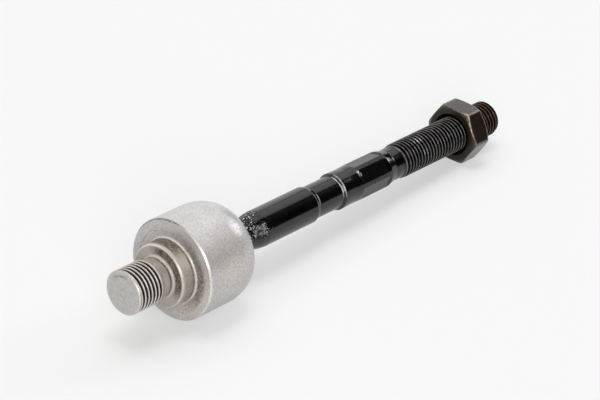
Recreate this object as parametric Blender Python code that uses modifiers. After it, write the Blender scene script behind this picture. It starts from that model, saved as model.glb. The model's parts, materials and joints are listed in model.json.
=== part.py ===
"""Inner tie rod of a rack-and-pinion steering gear, lying on a flat surface as it comes to rest.

The housing's stud screws into the end of the rack. The ball of the rod turns in a plastic seat inside
the housing, and the rod's outer thread takes the outer ball joint, which the jam nut locks.
Both threads are true right-hand helices, with few facets; the nut's bore is a plain hole.

Sizes are in millimetres. Profiles are lists of (station, radius): a station runs along the axis from
the stud's end face towards the rod's tip, and a radius runs square to it.
"""

import math

import bmesh
import bpy
from mathutils import Matrix

MM = 0.001

# External metric thread, as shares of its pitch
THREAD_DEPTH_SHARE = 0.6134
THREAD_CREST_SHARE = 0.125
THREAD_TRIM_CLEARANCE = 0.05

# Stud on the housing, for the rack's end: a 15 x 1.5 thread, rolled a little under its nominal size
STUD_DIAMETER = 14.7
STUD_PITCH = 1.5
STUD_THREAD_LENGTH = 10.4
STUD_POINT_CHAMFER = 0.5
STUD_NECK_DIAMETER = 13.0
STUD_NECK_LENGTH = 5.1
STUD_NECK_FILLET = 0.9

# Collar that seats on the rack's end
COLLAR_DIAMETER = 21.0
COLLAR_LENGTH = 5.9
COLLAR_CHAMFER = 0.6
COLLAR_FILLET = 1.0

# Ball and the socket around it
BALL_DIAMETER = 20.0
BALL_CLEARANCE = 0.15
BALL_END_FLAT = 8.0
SEAT_WALL = 1.6
SEAT_FLOOR = 1.5
SEAT_CHAMFER = 3.2
SEAT_CLEARANCE = 0.25
SEAT_RIM_SETBACK_DEG = 6.0
SEAT_OIL_HOLE = 6.4
SEAT_SLOTS = 6
SEAT_SLOT_WIDTH = 1.2
SEAT_SLOT_FLOOR = 4.0
SPRING_DIAMETER = 17.4
SPRING_HOLE = 8.4
SPRING_THICKNESS = 0.9
SPRING_HEIGHT = 1.6
SPRING_CLEARANCE = 0.3
SOCKET_WEB = 2.2

# Bell that holds the socket, with its mouth rolled in over the seat
BELL_WALL = 4.85
BELL_CHAMFER = 0.6
MOUTH_DIAMETER = 18.6
MOUTH_LAND = 0.3
MOUTH_FLARE = 0.5
LIP_NOSE = 0.9
LIP_ROLL_LENGTH = 10.0

# Rod, from the ball's centre outwards
NECK_DIAMETER = 9.4
NECK_FILLET = 1.2
NECK_LENGTH = 15.1
NECK_CONE_LENGTH = 5.4
SHOULDER_DIAMETER = 11.8
SHOULDER_LENGTH = 2.4
SHANK_DIAMETER = 12.4
SHANK_LENGTH = 23.7
SHANK_CHAMFER = 0.3
SHANK_STEP_LENGTH = 1.3
WAIST_DIAMETER = 11.1
WAIST_LENGTH = 11.1
GRIP_DIAMETER = 12.2
GRIP_LENGTH = 24.5
GRIP_LIP_DIAMETER = 12.5
GRIP_LIP_RISE = 0.8
GRIP_LIP_LENGTH = 1.0
GRIP_LIP_FADE = 2.5
GRIP_TAPER_LENGTH = 2.2
BLANK_LENGTH = 4.8
ROD_THREAD_DIAMETER = 12.0
ROD_THREAD_PITCH = 1.5
ROD_THREAD_LENGTH = 49.1
ROD_THREAD_LEAD_IN = 2.6
ROD_POINT_CHAMFER = 1.0

# Six flats pressed into the grip for a spanner, which push the metal between them a little outwards
HEX_ACROSS_FLATS = 11.5
HEX_CORNER_DIAMETER = 12.5
HEX_LENGTH = 14.9
HEX_OFFSET = 9.0
HEX_RUNOUT = 1.2
HEX_TURN_DEG = -15.3

# Jam nut
NUT_ACROSS_FLATS = 18.7
NUT_THICKNESS = 8.0
NUT_SETBACK = 11.0
NUT_FACE_SHARE = 0.95
NUT_CHAMFER_DEG = 30.0
NUT_BORE_CLEARANCE = 0.2
NUT_COUNTERSINK = 15.2
NUT_COUNTERSINK_DEG = 35.0

# Facets round a full turn, and along a quarter turn of an arc
HOUSING_STEPS = 56
ROD_STEPS = 36
NUT_STEPS = 36
SEAT_STEPS = 36
SPRING_STEPS = 36
THREAD_STEPS = 20
QUARTER_STEPS = 4
FILLET_STEPS = 3


def pitch_diameter(diameter, pitch):
    """The blank's size before a metric thread is rolled on it."""
    return diameter - 0.6495 * pitch


def root_radius(diameter, pitch):
    """The bottom of an external thread's grooves."""
    return diameter / 2 - THREAD_DEPTH_SHARE * pitch


# Stations along the axis, and radii, that follow from the sizes above
STUD_NECK_RADIUS = STUD_NECK_DIAMETER / 2
BLANK_RADIUS = pitch_diameter(ROD_THREAD_DIAMETER, ROD_THREAD_PITCH) / 2
BALL_RADIUS = BALL_DIAMETER / 2
SEAT_INNER_RADIUS = BALL_RADIUS + BALL_CLEARANCE
SEAT_OUTER_RADIUS = SEAT_INNER_RADIUS + SEAT_WALL
CAVITY_RADIUS = SEAT_OUTER_RADIUS + SEAT_CLEARANCE
BELL_RADIUS = CAVITY_RADIUS + BELL_WALL
MOUTH_RADIUS = MOUTH_DIAMETER / 2
POCKET_RADIUS = SPRING_DIAMETER / 2 + SPRING_CLEARANCE

COLLAR_FACE = STUD_THREAD_LENGTH + STUD_NECK_LENGTH
BELL_FACE = COLLAR_FACE + COLLAR_LENGTH
POCKET_FLOOR = BELL_FACE + SOCKET_WEB
SPRING_BOTTOM = POCKET_FLOOR + SPRING_CLEARANCE
SEAT_BOTTOM = SPRING_BOTTOM + SPRING_HEIGHT + SPRING_CLEARANCE
BALL_CENTRE = SEAT_BOTTOM + SEAT_FLOOR + SEAT_INNER_RADIUS
MOUTH_EDGE_DEG = math.degrees(math.acos(MOUTH_RADIUS / CAVITY_RADIUS))
MOUTH_EDGE = BALL_CENTRE + CAVITY_RADIUS * math.sin(math.radians(MOUTH_EDGE_DEG))
MOUTH_PLANE = MOUTH_EDGE + MOUTH_LAND + MOUTH_FLARE
LIP_RADIUS = MOUTH_RADIUS + MOUTH_FLARE + LIP_NOSE
SEAT_RIM_DEG = MOUTH_EDGE_DEG - SEAT_RIM_SETBACK_DEG

NECK_END = BALL_CENTRE + NECK_LENGTH
SHOULDER_START = NECK_END + NECK_CONE_LENGTH
SHANK_START = SHOULDER_START + SHOULDER_LENGTH
SHANK_END = SHANK_START + SHANK_LENGTH
WAIST_START = SHANK_END + SHANK_STEP_LENGTH
GRIP_START = WAIST_START + WAIST_LENGTH
GRIP_END = GRIP_START + GRIP_LENGTH
BLANK_START = GRIP_END + GRIP_TAPER_LENGTH
THREAD_START = BLANK_START + BLANK_LENGTH
ROD_TIP = THREAD_START + ROD_THREAD_LENGTH

NUT_FAR_FACE = ROD_TIP - NUT_SETBACK
NUT_NEAR_FACE = NUT_FAR_FACE - NUT_THICKNESS
NUT_APOTHEM = NUT_ACROSS_FLATS / 2
NUT_FACE_RADIUS = NUT_APOTHEM * NUT_FACE_SHARE
NUT_BORE_RADIUS = ROD_THREAD_DIAMETER / 2 + NUT_BORE_CLEARANCE


def arc(station, radius, size, start_deg, end_deg, steps):
    """Points on a circle of this size about (station, radius), from one angle to another."""
    points = []
    for step in range(steps + 1):
        angle = math.radians(start_deg + (end_deg - start_deg) * step / steps)
        points.append((station + size * math.cos(angle), radius + size * math.sin(angle)))
    return points


def stud_thread_outline():
    """What trims the stud's thread: the chamfered point, and a run-out that ends inside the neck."""
    radius = STUD_DIAMETER / 2
    inside = root_radius(STUD_DIAMETER, STUD_PITCH) - STUD_POINT_CHAMFER
    return [
        (0, 0),
        (0, radius - STUD_POINT_CHAMFER),
        (STUD_POINT_CHAMFER + THREAD_TRIM_CLEARANCE, radius + THREAD_TRIM_CLEARANCE),
        (STUD_THREAD_LENGTH - THREAD_TRIM_CLEARANCE, radius + THREAD_TRIM_CLEARANCE),
        (STUD_THREAD_LENGTH + radius - inside, inside),
        (STUD_THREAD_LENGTH + radius - inside, 0),
    ]


def stud_neck_outline():
    """The relief behind the stud's thread, from a point inside the thread to the fillet under the collar."""
    core = root_radius(STUD_DIAMETER, STUD_PITCH) - STUD_POINT_CHAMFER / 2
    rise = STUD_NECK_RADIUS - core
    start = STUD_THREAD_LENGTH + STUD_DIAMETER / 2 - STUD_NECK_RADIUS
    return [
        (start - 2 * rise, 0),
        (start - 2 * rise, core),
        (start - rise, core),
        (start, STUD_NECK_RADIUS),
    ] + arc(
        COLLAR_FACE - STUD_NECK_FILLET,
        STUD_NECK_RADIUS + STUD_NECK_FILLET,
        STUD_NECK_FILLET,
        -90,
        0,
        FILLET_STEPS,
    )


def collar_outline():
    """The collar from its seating face to the fillet on the bell's face."""
    radius = COLLAR_DIAMETER / 2
    return [
        (COLLAR_FACE, radius - COLLAR_CHAMFER),
        (COLLAR_FACE + COLLAR_CHAMFER, radius),
    ] + arc(
        BELL_FACE - COLLAR_FILLET,
        radius + COLLAR_FILLET,
        COLLAR_FILLET,
        -90,
        0,
        FILLET_STEPS,
    )


def bell_outline():
    """The bell from its face over the cylinder to the rolled lip's nose."""
    points = [
        (BELL_FACE, BELL_RADIUS - BELL_CHAMFER),
        (BELL_FACE + BELL_CHAMFER, BELL_RADIUS),
    ]
    roll_start = MOUTH_PLANE - LIP_ROLL_LENGTH
    steps = 2 * QUARTER_STEPS
    for step in range(steps + 1):
        angle = math.pi / 2 * step / steps
        station = roll_start + LIP_ROLL_LENGTH * math.sin(angle)
        radius = LIP_RADIUS + (BELL_RADIUS - LIP_RADIUS) * math.cos(angle)
        points.append((station, radius))
    return points


def cavity_outline():
    """The socket from its mouth, round the ball and the seat's cone, to the spring's pocket."""
    flare_radius = MOUTH_RADIUS + MOUTH_FLARE
    cone_top = SEAT_BOTTOM + SEAT_CHAMFER - SEAT_CLEARANCE * (math.sqrt(2) - 1)
    cone_depth = CAVITY_RADIUS - POCKET_RADIUS
    return (
        [(MOUTH_PLANE, flare_radius), (MOUTH_EDGE + MOUTH_LAND, MOUTH_RADIUS)]
        + arc(BALL_CENTRE, 0, CAVITY_RADIUS, 90 - MOUTH_EDGE_DEG, 90, QUARTER_STEPS)
        + [
            (cone_top, CAVITY_RADIUS),
            (cone_top - cone_depth, POCKET_RADIUS),
            (POCKET_FLOOR, POCKET_RADIUS),
            (POCKET_FLOOR, 0),
        ]
    )


def seat_outline():
    """Half section of the seat, a closed ring: bore, rim, outside, cone and floor."""
    hole_radius = SEAT_OIL_HOLE / 2
    hole_deg = math.degrees(math.asin(hole_radius / SEAT_INNER_RADIUS))
    inside = arc(BALL_CENTRE, 0, SEAT_INNER_RADIUS, 180 - hole_deg, 90 - SEAT_RIM_DEG, 2 * QUARTER_STEPS)
    outside = arc(BALL_CENTRE, 0, SEAT_OUTER_RADIUS, 90 - SEAT_RIM_DEG, 90, QUARTER_STEPS)
    floor = [
        (SEAT_BOTTOM + SEAT_CHAMFER, SEAT_OUTER_RADIUS),
        (SEAT_BOTTOM, SEAT_OUTER_RADIUS - SEAT_CHAMFER),
        (SEAT_BOTTOM, hole_radius),
    ]
    return list(reversed(inside + outside + floor))


def spring_outline():
    """Half section of the disc spring: a cone of even thickness, its wide rim on the pocket's floor."""
    outer = SPRING_DIAMETER / 2
    inner = SPRING_HOLE / 2
    rise = SPRING_HEIGHT - SPRING_THICKNESS
    return [
        (SPRING_BOTTOM, outer),
        (SPRING_BOTTOM + SPRING_THICKNESS, outer),
        (SPRING_BOTTOM + SPRING_THICKNESS + rise, inner),
        (SPRING_BOTTOM + rise, inner),
    ]


def ball_outline():
    """The ball from the flat on its end to the fillet where the neck grows out of it."""
    neck_radius = NECK_DIAMETER / 2
    flat_deg = math.degrees(math.asin(BALL_END_FLAT / 2 / BALL_RADIUS))
    # The fillet's circle touches the ball outside and the neck's cylinder
    fillet_radius = neck_radius + NECK_FILLET
    fillet_reach = math.sqrt((BALL_RADIUS + NECK_FILLET) ** 2 - fillet_radius**2)
    touch_deg = math.degrees(math.atan2(fillet_radius, fillet_reach))
    ball = arc(BALL_CENTRE, 0, BALL_RADIUS, 180 - flat_deg, touch_deg, 3 * QUARTER_STEPS)
    fillet = arc(
        BALL_CENTRE + fillet_reach,
        fillet_radius,
        NECK_FILLET,
        180 + touch_deg,
        270,
        FILLET_STEPS,
    )
    return [(ball[0][0], 0)] + ball + fillet[1:]


def shank_outline():
    """The forged shank: neck cone, barrel, waist, and the grip that carries the flats."""
    shank_radius = SHANK_DIAMETER / 2
    waist_radius = WAIST_DIAMETER / 2
    grip_radius = GRIP_DIAMETER / 2
    lip_radius = GRIP_LIP_DIAMETER / 2
    lip_end = GRIP_START + GRIP_LIP_RISE + GRIP_LIP_LENGTH
    corner_radius = HEX_CORNER_DIAMETER / 2
    hex_start = GRIP_START + HEX_OFFSET
    hex_end = hex_start + HEX_LENGTH
    return [
        (NECK_END, NECK_DIAMETER / 2),
        (SHOULDER_START, SHOULDER_DIAMETER / 2),
        (SHANK_START, shank_radius),
        (SHANK_END - SHANK_CHAMFER, shank_radius),
        (SHANK_END, shank_radius - SHANK_CHAMFER),
        (WAIST_START, waist_radius),
        (GRIP_START, waist_radius),
        (GRIP_START + GRIP_LIP_RISE, lip_radius),
        (lip_end, lip_radius),
        (lip_end + GRIP_LIP_FADE, grip_radius),
        (hex_start, grip_radius),
        (hex_start + HEX_RUNOUT, corner_radius),
        (hex_end - HEX_RUNOUT, corner_radius),
        (hex_end, grip_radius),
        (GRIP_END, grip_radius),
        (BLANK_START, BLANK_RADIUS),
    ]


def blank_end_outline():
    """The end of the plain blank, which dives into the rod's thread."""
    core = root_radius(ROD_THREAD_DIAMETER, ROD_THREAD_PITCH) - ROD_POINT_CHAMFER / 4
    rise = BLANK_RADIUS - core
    return [
        (THREAD_START, BLANK_RADIUS),
        (THREAD_START + rise, core),
        (THREAD_START + 2 * rise, core),
        (THREAD_START + 2 * rise, 0),
    ]


def rod_thread_outline():
    """What trims the rod's thread: a long lead-in that starts inside the blank, and the chamfered point."""
    radius = ROD_THREAD_DIAMETER / 2
    growth = (radius - BLANK_RADIUS) / ROD_THREAD_LEAD_IN
    back = ROD_THREAD_LEAD_IN / 2
    return [
        (THREAD_START - back, 0),
        (THREAD_START - back, BLANK_RADIUS - growth * back),
        (THREAD_START + ROD_THREAD_LEAD_IN, radius),
        (THREAD_START + 2 * ROD_THREAD_LEAD_IN, radius + THREAD_TRIM_CLEARANCE),
        (ROD_TIP - ROD_POINT_CHAMFER - THREAD_TRIM_CLEARANCE, radius + THREAD_TRIM_CLEARANCE),
        (ROD_TIP, radius - ROD_POINT_CHAMFER),
        (ROD_TIP, 0),
    ]


def nut_chamfer_outline():
    """The turned form that takes the corners off both faces of the hexagon."""
    corner_radius = NUT_APOTHEM / math.cos(math.radians(30)) + 1
    depth = (corner_radius - NUT_FACE_RADIUS) * math.tan(math.radians(NUT_CHAMFER_DEG))
    return [
        (NUT_NEAR_FACE, 0),
        (NUT_NEAR_FACE, NUT_FACE_RADIUS),
        (NUT_NEAR_FACE + depth, corner_radius),
        (NUT_FAR_FACE - depth, corner_radius),
        (NUT_FAR_FACE, NUT_FACE_RADIUS),
        (NUT_FAR_FACE, 0),
    ]


def nut_bore_outline():
    """The cutter for the bore: a plain hole with a countersink at each face, run out past both."""
    sink = NUT_COUNTERSINK / 2
    slope = math.tan(math.radians(NUT_COUNTERSINK_DEG))
    depth = (sink - NUT_BORE_RADIUS) * slope
    past = 0.5
    return [
        (NUT_NEAR_FACE - past, 0),
        (NUT_NEAR_FACE - past, sink + past / slope),
        (NUT_NEAR_FACE + depth, NUT_BORE_RADIUS),
        (NUT_FAR_FACE - depth, NUT_BORE_RADIUS),
        (NUT_FAR_FACE + past, sink + past / slope),
        (NUT_FAR_FACE + past, 0),
    ]


def rest_support():
    """(station, radius) of the bell's facet and of the nut's flat that stand on the floor."""
    flat_share = math.cos(math.pi / HOUSING_STEPS)
    chamfer_run = (NUT_APOTHEM - NUT_FACE_RADIUS) * math.tan(math.radians(NUT_CHAMFER_DEG))
    nut = (NUT_FAR_FACE - chamfer_run, NUT_APOTHEM)
    bell = [(station, radius * flat_share) for station, radius in bell_outline()]
    steepest = max(bell, key=lambda point: (point[1] - nut[1]) / (nut[0] - point[0]))
    return steepest, nut


def rest_frame():
    """(tilt in radians, x, z) that put the part on the floor with its box centred on x = 0."""
    (bell_station, bell_radius), (nut_station, nut_radius) = rest_support()
    tilt = math.atan2(bell_radius - nut_radius, nut_station - bell_station)
    height = bell_station * math.sin(tilt) + bell_radius * math.cos(tilt)
    whole = stud_thread_outline() + bell_outline() + rod_thread_outline()
    low = min(s * math.cos(tilt) - r * math.sin(tilt) for s, r in whole)
    high = max(s * math.cos(tilt) + r * math.sin(tilt) for s, r in whole)
    return tilt, -(low + high) / 2, height


def clear_scene():
    for obj in list(bpy.data.objects):
        bpy.data.objects.remove(obj)


def new_collection(name):
    collection = bpy.data.collections.new(name)
    bpy.context.scene.collection.children.link(collection)
    return collection


def new_material(name, colour, metallic, roughness):
    material = bpy.data.materials.new(name)
    material.use_nodes = True
    shader = material.node_tree.nodes["Principled BSDF"]
    shader.inputs["Base Color"].default_value = (*colour, 1)
    shader.inputs["Metallic"].default_value = metallic
    shader.inputs["Roughness"].default_value = roughness
    return material


def new_object(name, mesh, collection, parent, station=0.0):
    """An object on the axis, with its origin at this station."""
    obj = bpy.data.objects.new(name, mesh)
    collection.objects.link(obj)
    obj.parent = parent
    obj.location.z = station * MM
    return obj


def turned(name, outline, origin, steps, collection, parent, closed=False):
    """A turned solid from an outline that runs up its outer side, with its origin at a station."""
    mesh = bpy.data.meshes.new(name)
    points = [(radius * MM, 0, (station - origin) * MM) for station, radius in reversed(outline)]
    edges = [(i, i + 1) for i in range(len(points) - 1)]
    if closed:
        edges.append((len(points) - 1, 0))
    mesh.from_pydata(points, edges, [])
    obj = new_object(name, mesh, collection, parent, origin)
    screw = obj.modifiers.new("Turn", "SCREW")
    screw.axis = "Z"
    screw.angle = math.tau
    screw.steps = steps
    screw.render_steps = steps
    screw.use_merge_vertices = True
    screw.merge_threshold = 1e-6
    screw.use_smooth_shade = True
    return obj


def as_cutter(obj):
    obj.hide_render = True
    obj.display_type = "WIRE"
    return obj


def cut(obj, cutter, operation="DIFFERENCE"):
    boolean = obj.modifiers.new(cutter.name, "BOOLEAN")
    boolean.operation = operation
    boolean.object = cutter


def block(name, floor_size, top_size, low, high, collection, parent, station):
    """A four-sided block along X from low to high, with one size at its floor and one at its top."""
    bm = bmesh.new()
    bmesh.ops.create_cube(bm, size=1)
    for vert in bm.verts:
        across, along = top_size if vert.co.x > 0 else floor_size
        vert.co.y *= across * MM
        vert.co.z *= along * MM
        vert.co.x = (high if vert.co.x > 0 else low) * MM
    mesh = bpy.data.meshes.new(name)
    bm.to_mesh(mesh)
    bm.free()
    return new_object(name, mesh, collection, parent, station)


def threaded_bar(name, diameter, pitch, trim, steps, collection, parent):
    """A right-hand thread, trimmed by a turned outline. A crest faces +X at each whole pitch from the
    stud's end face, so the two threads and the nut keep one count."""
    first = math.floor(trim[0][0] / pitch) - 1
    turns = math.ceil(trim[-1][0] / pitch) + 1 - first
    crest = diameter / 2
    half_crest = THREAD_CREST_SHARE * pitch / 2
    root = root_radius(diameter, pitch)
    one_pitch = [(-pitch / 2, root), (-half_crest, crest), (half_crest, crest), (pitch / 2, root)]
    bm = bmesh.new()
    verts = [bm.verts.new((radius * MM, 0, (first * pitch + along) * MM)) for along, radius in one_pitch]
    edges = [bm.edges.new(pair) for pair in zip(verts, verts[1:])]
    bmesh.ops.spin(
        bm,
        geom=verts + edges,
        cent=(0, 0, 0),
        axis=(0, 0, 1),
        dvec=(0, 0, pitch / steps * MM),
        angle=math.tau * turns,
        steps=steps * turns,
    )
    bmesh.ops.remove_doubles(bm, verts=bm.verts, dist=1e-6)
    close_ends(bm)
    mesh = bpy.data.meshes.new(name)
    bm.to_mesh(mesh)
    bm.free()
    bar = new_object(name, mesh, collection, parent)
    cut(bar, as_cutter(turned(f"{name}_trim", trim, 0, ROD_STEPS, collection, parent)), "INTERSECT")
    return as_cutter(bar)


def close_ends(bm):
    """Closes each end of an open bar with a fan from its rim to the axis."""
    rims = [edge for edge in bm.edges if edge.is_boundary]
    middle = sum(edge.verts[0].co.z for edge in rims) / len(rims)
    for rim in ([e for e in rims if e.verts[0].co.z < middle], [e for e in rims if e.verts[0].co.z > middle]):
        height = sum(edge.verts[0].co.z for edge in rim) / len(rim)
        centre = bm.verts.new((0, 0, height))
        for edge in rim:
            bm.faces.new((*edge.verts, centre))
    bmesh.ops.recalc_face_normals(bm, faces=bm.faces)


def make_housing(part, cutters, parent, steel):
    outline = stud_neck_outline() + collar_outline() + bell_outline() + cavity_outline()
    housing = turned("socket_housing", outline, COLLAR_FACE, HOUSING_STEPS, part, parent)
    # Half a facet round, so that the bell stands on a flat and not on an edge
    housing.rotation_euler.z = math.pi / HOUSING_STEPS
    housing.data.materials.append(steel)
    stud = threaded_bar(
        "stud_thread", STUD_DIAMETER, STUD_PITCH, stud_thread_outline(), THREAD_STEPS, cutters, parent
    )
    cut(housing, stud, "UNION")
    return housing


def make_seat(part, cutters, parent, plastic):
    seat = turned("ball_seat", seat_outline(), BALL_CENTRE, SEAT_STEPS, part, parent, closed=True)
    seat.data.materials.append(plastic)
    low = BALL_CENTRE - SEAT_SLOT_FLOOR
    high = BALL_CENTRE + SEAT_OUTER_RADIUS
    for i in range(SEAT_SLOTS):
        slot = block(
            f"seat_slot_{i + 1}",
            (SEAT_SLOT_WIDTH, high - low),
            (SEAT_SLOT_WIDTH, high - low),
            SEAT_INNER_RADIUS / 2,
            SEAT_OUTER_RADIUS + 1,
            cutters,
            parent,
            (low + high) / 2,
        )
        slot.rotation_euler.z = math.tau * (i + 0.5) / SEAT_SLOTS
        cut(seat, as_cutter(slot))
    return seat


def make_spring(part, parent, spring_steel):
    spring = turned(
        "preload_spring", spring_outline(), SPRING_BOTTOM, SPRING_STEPS, part, parent, closed=True
    )
    spring.data.materials.append(spring_steel)
    return spring


def make_rod(part, cutters, parent, black_steel):
    outline = ball_outline() + shank_outline() + blank_end_outline()
    rod = turned("tie_rod", outline, BALL_CENTRE, ROD_STEPS, part, parent)
    rod.data.materials.append(black_steel)
    floor = HEX_ACROSS_FLATS / 2
    top = HEX_CORNER_DIAMETER / 2 + 1
    ramp = HEX_RUNOUT * (top - floor) / (GRIP_DIAMETER / 2 - floor)
    flat_length = HEX_LENGTH - 2 * HEX_RUNOUT
    for i in range(6):
        flat = block(
            f"spanner_flat_{i + 1}",
            (HEX_CORNER_DIAMETER, flat_length),
            (HEX_CORNER_DIAMETER, flat_length + 2 * ramp),
            floor,
            top,
            cutters,
            parent,
            GRIP_START + HEX_OFFSET + HEX_LENGTH / 2,
        )
        flat.rotation_euler.z = math.radians(HEX_TURN_DEG + 60 * i)
        cut(rod, as_cutter(flat))
    thread = threaded_bar(
        "rod_thread",
        ROD_THREAD_DIAMETER,
        ROD_THREAD_PITCH,
        rod_thread_outline(),
        THREAD_STEPS,
        cutters,
        parent,
    )
    cut(rod, thread, "UNION")
    return rod


def make_nut(part, cutters, parent, dark_steel):
    """A hexagon with one flat facing down, turned off at both faces and bored."""
    bm = bmesh.new()
    corner_radius = NUT_APOTHEM / math.cos(math.radians(30)) * MM
    bmesh.ops.create_cone(
        bm,
        cap_ends=True,
        segments=6,
        radius1=corner_radius,
        radius2=corner_radius,
        depth=(NUT_THICKNESS + 2) * MM,
    )
    bmesh.ops.rotate(bm, verts=bm.verts, matrix=turn_to_flat(bm))
    mesh = bpy.data.meshes.new("jam_nut")
    bm.to_mesh(mesh)
    bm.free()
    nut = new_object("jam_nut", mesh, part, parent, (NUT_NEAR_FACE + NUT_FAR_FACE) / 2)
    nut.data.materials.append(dark_steel)
    chamfer = turned("nut_chamfer", nut_chamfer_outline(), NUT_NEAR_FACE, NUT_STEPS, cutters, parent)
    bore = turned("nut_bore", nut_bore_outline(), NUT_NEAR_FACE, NUT_STEPS, cutters, parent)
    cut(nut, as_cutter(chamfer), "INTERSECT")
    cut(nut, as_cutter(bore))
    return nut


def turn_to_flat(bm):
    """The turn about Z that brings the middle of a side of this prism to face +X."""
    bm.verts.ensure_lookup_table()
    corner = bm.verts[0].co
    return Matrix.Rotation(math.radians(30) - math.atan2(corner.y, corner.x), 3, "Z")


def main():
    clear_scene()
    part = new_collection("inner_tie_rod")
    cutters = new_collection("cutters")

    tilt, x, z = rest_frame()
    axis = bpy.data.objects.new("tie_rod_axis", None)
    part.objects.link(axis)
    axis.location = (x * MM, 0, z * MM)
    # Local Z runs along the rod and local X faces the floor
    axis.rotation_euler.y = math.pi / 2 + tilt

    steel = new_material("blasted_steel", (0.50, 0.49, 0.47), 0.6, 0.5)
    black_steel = new_material("black_coated_steel", (0.02, 0.02, 0.022), 0.3, 0.3)
    dark_steel = new_material("oiled_dark_steel", (0.05, 0.045, 0.04), 0.5, 0.4)
    spring_steel = new_material("spring_steel", (0.25, 0.25, 0.26), 0.9, 0.35)
    plastic = new_material("seat_plastic", (0.8, 0.79, 0.74), 0.0, 0.4)

    make_housing(part, cutters, axis, steel)
    make_spring(part, axis, spring_steel)
    make_seat(part, cutters, axis, plastic)
    make_rod(part, cutters, axis, black_steel)
    make_nut(part, cutters, axis, dark_steel)


main()
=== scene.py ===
"""Looks of the inner tie rod: threads, worn and coated steel, studio light and the photograph's camera.

The turned pieces are rebuilt round the CAD model's own axis, with the threads cut as true helices and
every edge broken. Lengths are in millimetres along the axis (station) and square to it (radius), as in
the part's source, and become metres in placed().
"""

import json
import math

import bpy
import numpy as np
from mathutils import Matrix, Vector

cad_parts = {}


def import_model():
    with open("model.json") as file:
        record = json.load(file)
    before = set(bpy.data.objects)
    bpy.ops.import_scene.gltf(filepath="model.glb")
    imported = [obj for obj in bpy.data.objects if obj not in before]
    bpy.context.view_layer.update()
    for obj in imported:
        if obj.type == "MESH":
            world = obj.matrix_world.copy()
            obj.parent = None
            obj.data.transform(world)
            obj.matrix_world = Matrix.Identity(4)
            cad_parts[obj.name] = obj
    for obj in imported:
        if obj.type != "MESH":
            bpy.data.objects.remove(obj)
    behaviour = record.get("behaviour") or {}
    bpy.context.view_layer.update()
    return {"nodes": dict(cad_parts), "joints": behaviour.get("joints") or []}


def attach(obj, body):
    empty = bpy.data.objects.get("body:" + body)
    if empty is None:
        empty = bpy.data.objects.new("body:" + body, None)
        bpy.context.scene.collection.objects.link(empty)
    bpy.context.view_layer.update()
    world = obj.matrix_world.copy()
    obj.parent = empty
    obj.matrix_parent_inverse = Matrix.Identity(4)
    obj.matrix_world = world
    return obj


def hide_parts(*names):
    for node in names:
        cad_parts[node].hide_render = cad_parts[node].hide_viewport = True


MM = 0.001

# Photograph's camera, in the part's frame
CAMERA_PLACE = (-0.72493, -0.59043, 0.60915)
CAMERA_FORWARD = (0.651334, 0.535849, -0.537242)
CAMERA_UP = (0.367212, 0.396995, 0.84116)
CAMERA_LENS = 207.2

# Sizes from the part's source. Three differ a little, to match the photograph: BELL_RADIUS, because the
# source's circle is faceted, GRIP_LIP_FADED and NUT_COUNTERSINK.
BALL_CENTRE = 37.45
STUD_THREAD_LENGTH = 10.4
STUD_RADIUS = 7.35
STUD_POINT_CHAMFER = 0.5
STUD_NECK_RADIUS = 6.5
STUD_NECK_FILLET = 0.9
COLLAR_FACE = 15.5
COLLAR_RADIUS = 10.5
COLLAR_CHAMFER = 0.6
COLLAR_FILLET = 1.0
BELL_FACE = 21.4
BELL_RADIUS = 16.795
BELL_CHAMFER = 0.6
MOUTH_EDGE = 45.0335
MOUTH_PLANE = 45.8335
MOUTH_RADIUS = 9.3
MOUTH_FLARE = 0.5
LIP_RADIUS = 10.7
LIP_ROLL_LENGTH = 10.0
CAVITY_RADIUS = 12.0
POCKET_RADIUS = 9.0
POCKET_FLOOR = 23.6
CAVITY_CONE_TOP = 28.896
BALL_RADIUS = 10.0
BALL_END_FLAT_RADIUS = 4.0
NECK_RADIUS = 4.7
NECK_FILLET = 1.2
NECK_END = 52.55
SHOULDER_START = 57.95
SHOULDER_RADIUS = 5.9
SHANK_START = 60.35
SHANK_RADIUS = 6.2
SHANK_END = 84.05
WAIST_START = 85.35
WAIST_RADIUS = 5.55
GRIP_START = 96.45
GRIP_LIP_RADIUS = 6.25
GRIP_LIP_START = GRIP_START + 0.8
GRIP_LIP_END = GRIP_START + 1.8
GRIP_LIP_FADED = GRIP_START + 6.0
GRIP_RADIUS = 6.1
BLANK_START = 123.15
BLANK_RADIUS = 5.513
THREAD_START = 127.95
THREAD_RADIUS = 6.0
ROD_TIP = 177.05
ROD_POINT_CHAMFER = 1.0
PITCH = 1.5
HEX_APOTHEM = 5.75
HEX_CORNER_RADIUS = 6.25
HEX_START = GRIP_START + 9.0
HEX_END = HEX_START + 14.9
HEX_RUNOUT = 1.2
HEX_TURN = math.radians(-15.3)
NUT_NEAR_FACE = 158.05
NUT_FAR_FACE = 166.05
NUT_APOTHEM = 9.35
NUT_CORNER_RADIUS = 10.6
NUT_FACE_RADIUS = NUT_APOTHEM * 0.95
NUT_CHAMFER_SLOPE = math.tan(math.radians(30))
NUT_BORE_RADIUS = 6.2
NUT_COUNTERSINK = 7.35
NUT_COUNTERSINK_SLOPE = math.tan(math.radians(35))

# External thread with 60 degree flanks, in millimetres at this pitch
THREAD_DEPTH = 0.6134 * PITCH
CREST_FLAT = PITCH / 8

# Longest stretch between two rows of the mesh, in millimetres, and the housing's columns
STUD_THREAD_ROWS = 0.09
TURNED_ROWS = 0.18
BELL_ROWS = 1.2
ROD_THREAD_ROWS = 0.115
STEP_ROWS = 0.1
NECK_ROWS = 0.22
FLAT_ROWS = 0.35
SHANK_ROWS = 2.5
HOUSING_COLUMNS = 200

# How light the paper is, and how much of its white is its own
FLOOR_SHADE = 0.42
FLOOR_GLOW = 0.47
WALL_SHADE = 0.4
WALL_GLOW = 0.95

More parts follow.
